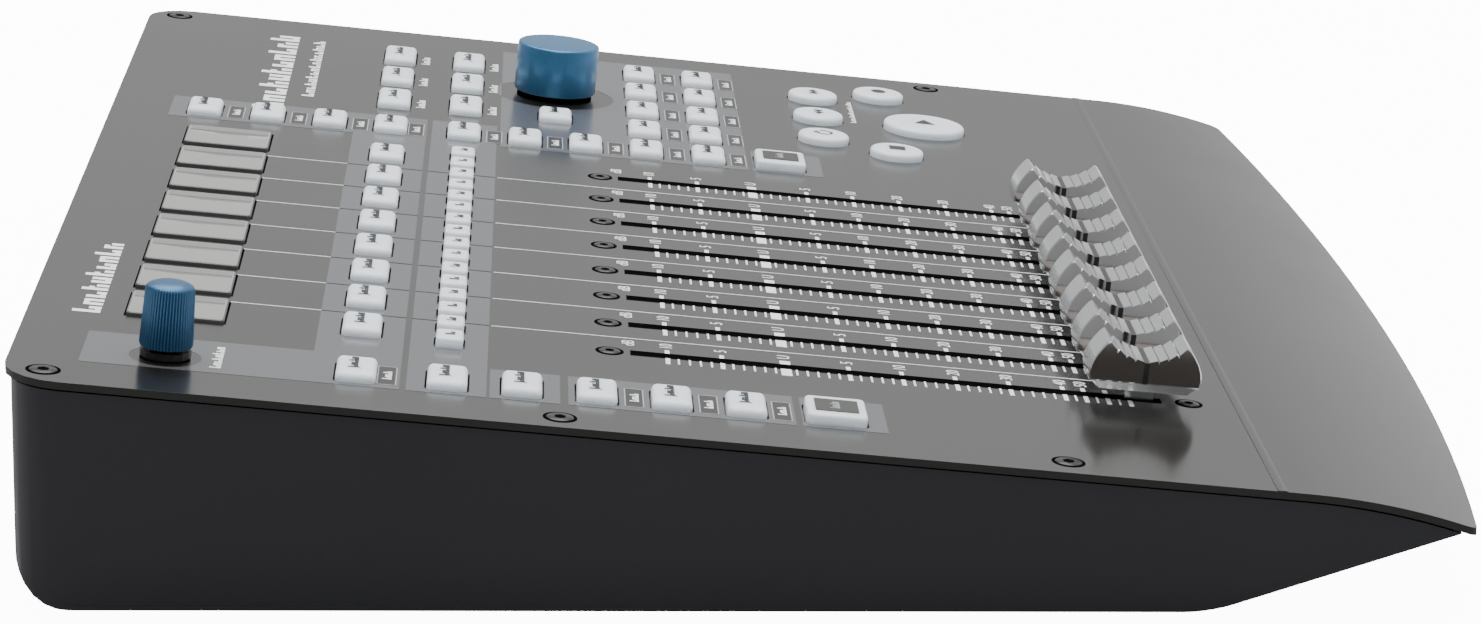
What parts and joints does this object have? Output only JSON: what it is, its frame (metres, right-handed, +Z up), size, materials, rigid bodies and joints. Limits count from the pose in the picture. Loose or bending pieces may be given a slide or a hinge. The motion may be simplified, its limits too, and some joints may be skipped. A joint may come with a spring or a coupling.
{
  "type": "fader control surface",
  "caption": "Wedge-shaped desktop fader controller: sloping control face with sliding faders, push keys, display windows, two rotary knobs and round transport keys over a sheet-metal base.",
  "frame": {"origin": "on the table under the middle of the console's plan box", "axes": "+X to the operator's right, +Y from the operator towards the back, +Z up"},
  "size_m": [0.35, 0.2965, 0.0622],
  "materials": {
    "face_paint": "satin",
    "base_paint": "satin",
    "key_silicone": "translucent satin",
    "cap_chrome": "metallised gloss",
    "knob_blue": "anodised satin",
    "display_glass": "gloss",
    "board_green": "satin",
    "fader_steel": "zinc plated",
    "encoder_steel": "satin",
    "socket_black": "satin",
    "socket_steel": "satin",
    "foot_rubber": "matte"
  },
  "bodies": {
    "console": {"top_plate": "face_paint", "base_shell": "base_paint", "control_board": "board_green", "display_bar": "display_glass", "fader_bank": "fader_steel", "pan_encoder": "encoder_steel", "jog_encoder": "encoder_steel", "usb_socket": "socket_steel", "dc_socket": "socket_black", "footswitch_jack": "socket_black", "foot_front_left": "foot_rubber", "foot_front_right": "foot_rubber", "foot_back_left": "foot_rubber", "foot_back_right": "foot_rubber"},
    "fader_cap_1": {"fader_cap_1": "cap_chrome"},
    "fader_cap_2": {"fader_cap_2": "cap_chrome"},
    "fader_cap_3": {"fader_cap_3": "cap_chrome"},
    "fader_cap_4": {"fader_cap_4": "cap_chrome"},
    "fader_cap_5": {"fader_cap_5": "cap_chrome"},
    "fader_cap_6": {"fader_cap_6": "cap_chrome"},
    "fader_cap_7": {"fader_cap_7": "cap_chrome"},
    "fader_cap_8": {"fader_cap_8": "cap_chrome"},
    "pan_knob": {"pan_knob": "knob_blue"},
    "jog_knob": {"jog_knob": "knob_blue"},
    "power_button": {"power_button": "socket_black"},
    "mute_solo_keypad": {"mute_solo_keypad": "key_silicone"},
    "automation_keypad": {"automation_keypad": "key_silicone"},
    "mix_keypad": {"mix_keypad": "key_silicone"},
    "play_key": {"play_key": "key_silicone"},
    "stop_key": {"stop_key": "key_silicone"},
    "record_key": {"record_key": "key_silicone"},
    "loop_key": {"loop_key": "key_silicone"},
    "rewind_key": {"rewind_key": "key_silicone"},
    "forward_key": {"forward_key": "key_silicone"},
    "left_shift_key": {"left_shift_key": "key_silicone"},
    "right_shift_key": {"right_shift_key": "key_silicone"},
    "enter_key": {"enter_key": "key_silicone"},
    "select_key_1": {"select_key_1": "key_silicone"},
    "arm_key": {"arm_key": "key_silicone"},
    "mode_key_1": {"mode_key_1": "key_silicone"},
    "bypass_key": {"bypass_key": "key_silicone"},
    "link_key": {"link_key": "key_silicone"},
    "macro_key": {"macro_key": "key_silicone"},
    "mix_key_1": {"mix_key_1": "key_silicone"},
    "mix_key_2": {"mix_key_2": "key_silicone"},
    "mode_key_2": {"mode_key_2": "key_silicone"},
    "mode_key_3": {"mode_key_3": "key_silicone"},
    "mode_key_4": {"mode_key_4": "key_silicone"},
    "mode_key_5": {"mode_key_5": "key_silicone"},
    "mute_clear_key": {"mute_clear_key": "key_silicone"},
    "next_key": {"next_key": "key_silicone"},
    "previous_key": {"previous_key": "key_silicone"},
    "select_key_2": {"select_key_2": "key_silicone"},
    "select_key_3": {"select_key_3": "key_silicone"},
    "select_key_4": {"select_key_4": "key_silicone"},
    "select_key_5": {"select_key_5": "key_silicone"},
    "select_key_6": {"select_key_6": "key_silicone"},
    "select_key_7": {"select_key_7": "key_silicone"},
    "select_key_8": {"select_key_8": "key_silicone"},
    "solo_clear_key": {"solo_clear_key": "key_silicone"}
  },
  "joints": [
    {"name": "fader_slide_1", "type": "slide", "parent": "console", "child": "fader_cap_1", "axis": [0, 0.9961, 0.088], "range_m": [0, 0.1]},
    {"name": "fader_slide_2", "type": "slide", "parent": "console", "child": "fader_cap_2", "axis": [0, 0.9961, 0.088], "range_m": [0, 0.1]},
    {"name": "fader_slide_3", "type": "slide", "parent": "console", "child": "fader_cap_3", "axis": [0, 0.9961, 0.088], "range_m": [0, 0.1]},
    {"name": "fader_slide_4", "type": "slide", "parent": "console", "child": "fader_cap_4", "axis": [0, 0.9961, 0.088], "range_m": [0, 0.1]},
    {"name": "fader_slide_5", "type": "slide", "parent": "console", "child": "fader_cap_5", "axis": [0, 0.9961, 0.088], "range_m": [0, 0.1]},
    {"name": "fader_slide_6", "type": "slide", "parent": "console", "child": "fader_cap_6", "axis": [0, 0.9961, 0.088], "range_m": [0, 0.1]},
    {"name": "fader_slide_7", "type": "slide", "parent": "console", "child": "fader_cap_7", "axis": [0, 0.9961, 0.088], "range_m": [0, 0.1]},
    {"name": "fader_slide_8", "type": "slide", "parent": "console", "child": "fader_cap_8", "axis": [0, 0.9961, 0.088], "range_m": [0, 0.1]},
    {"name": "pan_turn", "type": "hinge", "parent": "console", "child": "pan_knob", "pos_m": [-0.1514, 0.11874, 0.04671], "axis": [0, -0.088, 0.9961], "continuous": true},
    {"name": "jog_turn", "type": "hinge", "parent": "console", "child": "jog_knob", "pos_m": [0.1154, 0.04273, 0.03999], "axis": [0, -0.088, 0.9961], "continuous": true},
    {"name": "power_press", "type": "slide", "parent": "console", "child": "power_button", "axis": [0, -1, 0], "range_m": [0, 0.0015], "stiffness_N_per_m": 600, "springref_m": -0.0005},
    {"name": "mute_solo_keypad_press", "type": "slide", "parent": "console", "child": "mute_solo_keypad", "axis": [0, 0.088, -0.9961], "range_m": [0, 0.0012], "stiffness_N_per_m": 1500, "springref_m": -0.0005},
    {"name": "automation_keypad_press", "type": "slide", "parent": "console", "child": "automation_keypad", "axis": [0, 0.088, -0.9961], "range_m": [0, 0.0012], "stiffness_N_per_m": 1500, "springref_m": -0.0005},
    {"name": "mix_keypad_press", "type": "slide", "parent": "console", "child": "mix_keypad", "axis": [0, 0.088, -0.9961], "range_m": [0, 0.0012], "stiffness_N_per_m": 1500, "springref_m": -0.0005},
    {"name": "play_key_press", "type": "slide", "parent": "console", "child": "play_key", "axis": [0, 0.088, -0.9961], "range_m": [0, 0.0012], "stiffness_N_per_m": 500, "springref_m": -0.0005},
    {"name": "stop_key_press", "type": "slide", "parent": "console", "child": "stop_key", "axis": [0, 0.088, -0.9961], "range_m": [0, 0.0012], "stiffness_N_per_m": 500, "springref_m": -0.0005},
    {"name": "record_key_press", "type": "slide", "parent": "console", "child": "record_key", "axis": [0, 0.088, -0.9961], "range_m": [0, 0.0012], "stiffness_N_per_m": 500, "springref_m": -0.0005},
    {"name": "loop_key_press", "type": "slide", "parent": "console", "child": "loop_key", "axis": [0, 0.088, -0.9961], "range_m": [0, 0.0012], "stiffness_N_per_m": 500, "springref_m": -0.0005},
    {"name": "rewind_key_press", "type": "slide", "parent": "console", "child": "rewind_key", "axis": [0, 0.088, -0.9961], "range_m": [0, 0.0012], "stiffness_N_per_m": 500, "springref_m": -0.0005},
    {"name": "forward_key_press", "type": "slide", "parent": "console", "child": "forward_key", "axis": [0, 0.088, -0.9961], "range_m": [0, 0.0012], "stiffness_N_per_m": 500, "springref_m": -0.0005},
    {"name": "left_shift_key_press", "type": "slide", "parent": "console", "child": "left_shift_key", "axis": [0, 0.088, -0.9961], "range_m": [0, 0.0012], "stiffness_N_per_m": 500, "springref_m": -0.0005},
    {"name": "right_shift_key_press", "type": "slide", "parent": "console", "child": "right_shift_key", "axis": [0, 0.088, -0.9961], "range_m": [0, 0.0012], "stiffness_N_per_m": 500, "springref_m": -0.0005},
    {"name": "enter_key_press", "type": "slide", "parent": "console", "child": "enter_key", "axis": [0, 0.088, -0.9961], "range_m": [0, 0.0012], "stiffness_N_per_m": 500, "springref_m": -0.0005},
    {"name": "select_key_1_press", "type": "slide", "parent": "console", "child": "select_key_1", "axis": [0, 0.088, -0.9961], "range_m": [0, 0.0012], "stiffness_N_per_m": 500, "springref_m": -0.0005},
    {"name": "arm_key_press", "type": "slide", "parent": "console", "child": "arm_key", "axis": [0, 0.088, -0.9961], "range_m": [0, 0.0012], "stiffness_N_per_m": 500, "springref_m": -0.0005},
    {"name": "mode_key_1_press", "type": "slide", "parent": "console", "child": "mode_key_1", "axis": [0, 0.088, -0.9961], "range_m": [0, 0.0012], "stiffness_N_per_m": 500, "springref_m": -0.0005},
    {"name": "bypass_key_press", "type": "slide", "parent": "console", "child": "bypass_key", "axis": [0, 0.088, -0.9961], "range_m": [0, 0.0012], "stiffness_N_per_m": 500, "springref_m": -0.0005},
    {"name": "link_key_press", "type": "slide", "parent": "console", "child": "link_key", "axis": [0, 0.088, -0.9961], "range_m": [0, 0.0012], "stiffness_N_per_m": 500, "springref_m": -0.0005},
    {"name": "macro_key_press", "type": "slide", "parent": "console", "child": "macro_key", "axis": [0, 0.088, -0.9961], "range_m": [0, 0.0012], "stiffness_N_per_m": 500, "springref_m": -0.0005},
    {"name": "mix_key_1_press", "type": "slide", "parent": "console", "child": "mix_key_1", "axis": [0, 0.088, -0.9961], "range_m": [0, 0.0012], "stiffness_N_per_m": 500, "springref_m": -0.0005},
    {"name": "mix_key_2_press", "type": "slide", "parent": "console", "child": "mix_key_2", "axis": [0, 0.088, -0.9961], "range_m": [0, 0.0012], "stiffness_N_per_m": 500, "springref_m": -0.0005},
    {"name": "mode_key_2_press", "type": "slide", "parent": "console", "child": "mode_key_2", "axis": [0, 0.088, -0.9961], "range_m": [0, 0.0012], "stiffness_N_per_m": 500, "springref_m": -0.0005},
    {"name": "mode_key_3_press", "type": "slide", "parent": "console", "child": "mode_key_3", "axis": [0, 0.088, -0.9961], "range_m": [0, 0.0012], "stiffness_N_per_m": 500, "springref_m": -0.0005},
    {"name": "mode_key_4_press", "type": "slide", "parent": "console", "child": "mode_key_4", "axis": [0, 0.088, -0.9961], "range_m": [0, 0.0012], "stiffness_N_per_m": 500, "springref_m": -0.0005},
    {"name": "mode_key_5_press", "type": "slide", "parent": "console", "child": "mode_key_5", "axis": [0, 0.088, -0.9961], "range_m": [0, 0.0012], "stiffness_N_per_m": 500, "springref_m": -0.0005},
    {"name": "mute_clear_key_press", "type": "slide", "parent": "console", "child": "mute_clear_key", "axis": [0, 0.088, -0.9961], "range_m": [0, 0.0012], "stiffness_N_per_m": 500, "springref_m": -0.0005},
    {"name": "next_key_press", "type": "slide", "parent": "console", "child": "next_key", "axis": [0, 0.088, -0.9961], "range_m": [0, 0.0012], "stiffness_N_per_m": 500, "springref_m": -0.0005},
    {"name": "previous_key_press", "type": "slide", "parent": "console", "child": "previous_key", "axis": [0, 0.088, -0.9961], "range_m": [0, 0.0012], "stiffness_N_per_m": 500, "springref_m": -0.0005},
    {"name": "select_key_2_press", "type": "slide", "parent": "console", "child": "select_key_2", "axis": [0, 0.088, -0.9961], "range_m": [0, 0.0012], "stiffness_N_per_m": 500, "springref_m": -0.0005},
    {"name": "select_key_3_press", "type": "slide", "parent": "console", "child": "select_key_3", "axis": [0, 0.088, -0.9961], "range_m": [0, 0.0012], "stiffness_N_per_m": 500, "springref_m": -0.0005},
    {"name": "select_key_4_press", "type": "slide", "parent": "console", "child": "select_key_4", "axis": [0, 0.088, -0.9961], "range_m": [0, 0.0012], "stiffness_N_per_m": 500, "springref_m": -0.0005},
    {"name": "select_key_5_press", "type": "slide", "parent": "console", "child": "select_key_5", "axis": [0, 0.088, -0.9961], "range_m": [0, 0.0012], "stiffness_N_per_m": 500, "springref_m": -0.0005},
    {"name": "select_key_6_press", "type": "slide", "parent": "console", "child": "select_key_6", "axis": [0, 0.088, -0.9961], "range_m": [0, 0.0012], "stiffness_N_per_m": 500, "springref_m": -0.0005},
    {"name": "select_key_7_press", "type": "slide", "parent": "console", "child": "select_key_7", "axis": [0, 0.088, -0.9961], "range_m": [0, 0.0012], "stiffness_N_per_m": 500, "springref_m": -0.0005},
    {"name": "select_key_8_press", "type": "slide", "parent": "console", "child": "select_key_8", "axis": [0, 0.088, -0.9961], "range_m": [0, 0.0012], "stiffness_N_per_m": 500, "springref_m": -0.0005},
    {"name": "solo_clear_key_press", "type": "slide", "parent": "console", "child": "solo_clear_key", "axis": [0, 0.088, -0.9961], "range_m": [0, 0.0012], "stiffness_N_per_m": 500, "springref_m": -0.0005}
  ]
}
